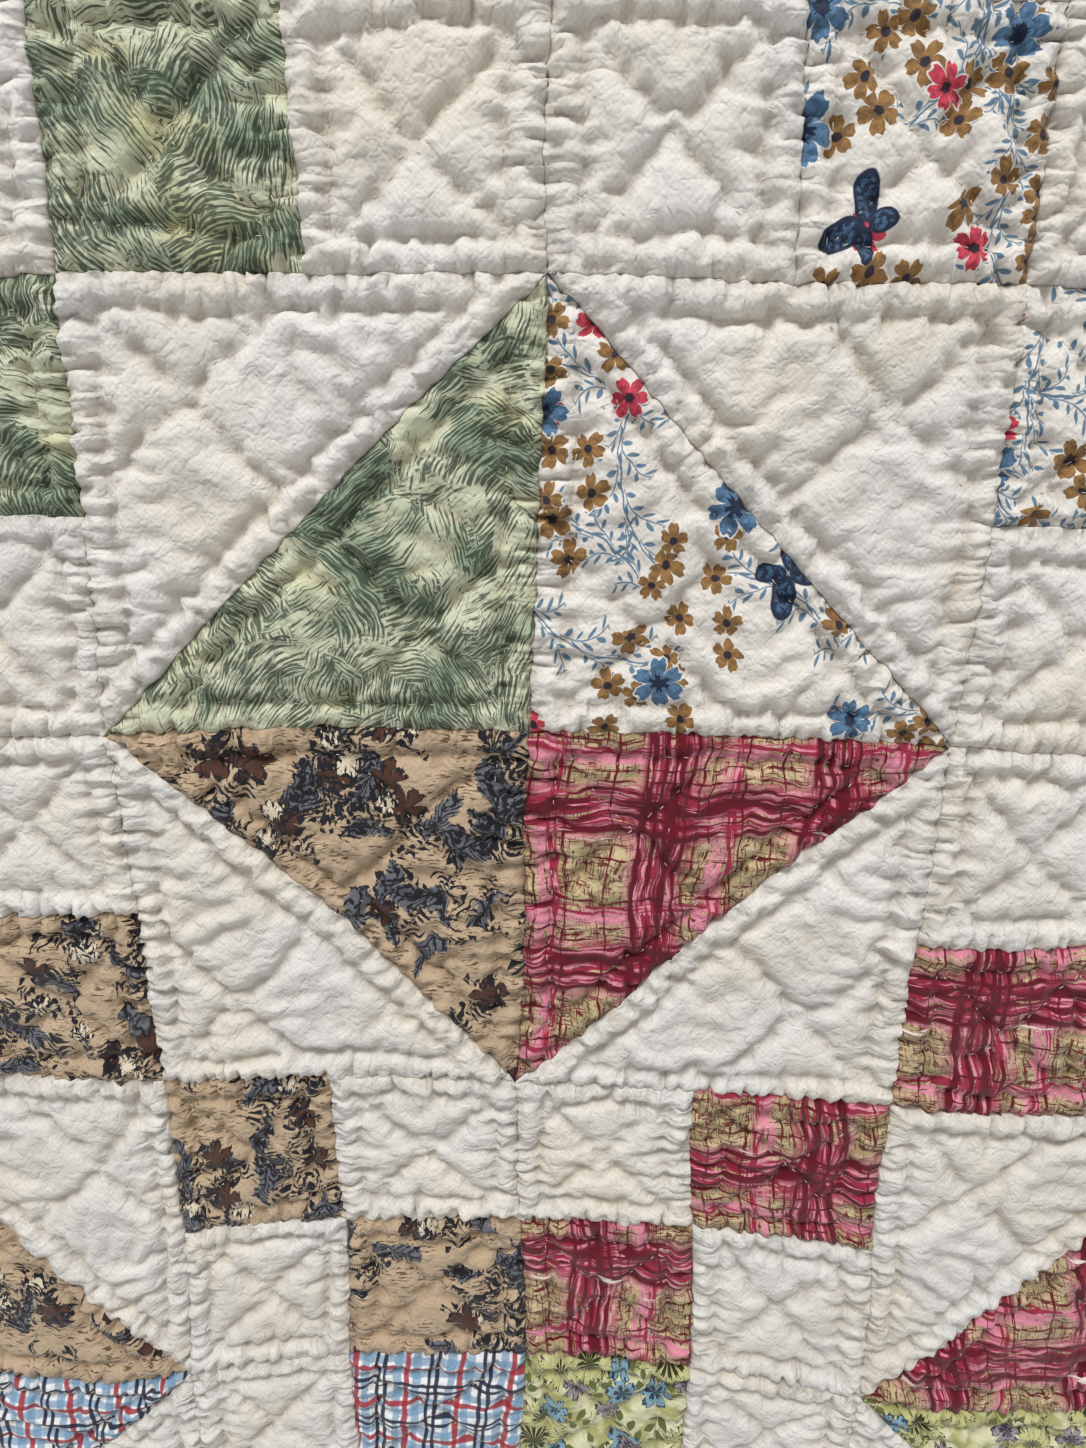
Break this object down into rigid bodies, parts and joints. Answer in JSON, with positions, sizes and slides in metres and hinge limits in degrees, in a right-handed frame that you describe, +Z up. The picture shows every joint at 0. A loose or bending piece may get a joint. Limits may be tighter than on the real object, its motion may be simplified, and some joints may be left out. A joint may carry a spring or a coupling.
{
  "type": "patchwork quilt",
  "caption": "Flat square quilt of pieced triangles and small squares, with raised hand quilting and a turned, stitched edge.",
  "frame": {"origin": "middle of the flat underside", "axes": "+Z up through the quilt, out of its patchwork face; +Y towards the top of the pattern; +X to the right of the pattern"},
  "size_m": [0.6096, 0.6096, 0.0062],
  "materials": {
    "quilt_cotton": "soft matt washed cotton, pieced from white muslin and printed patches"
  },
  "bodies": {
    "root": {"quilt": "quilt_cotton"}
  },
  "joints": []
}
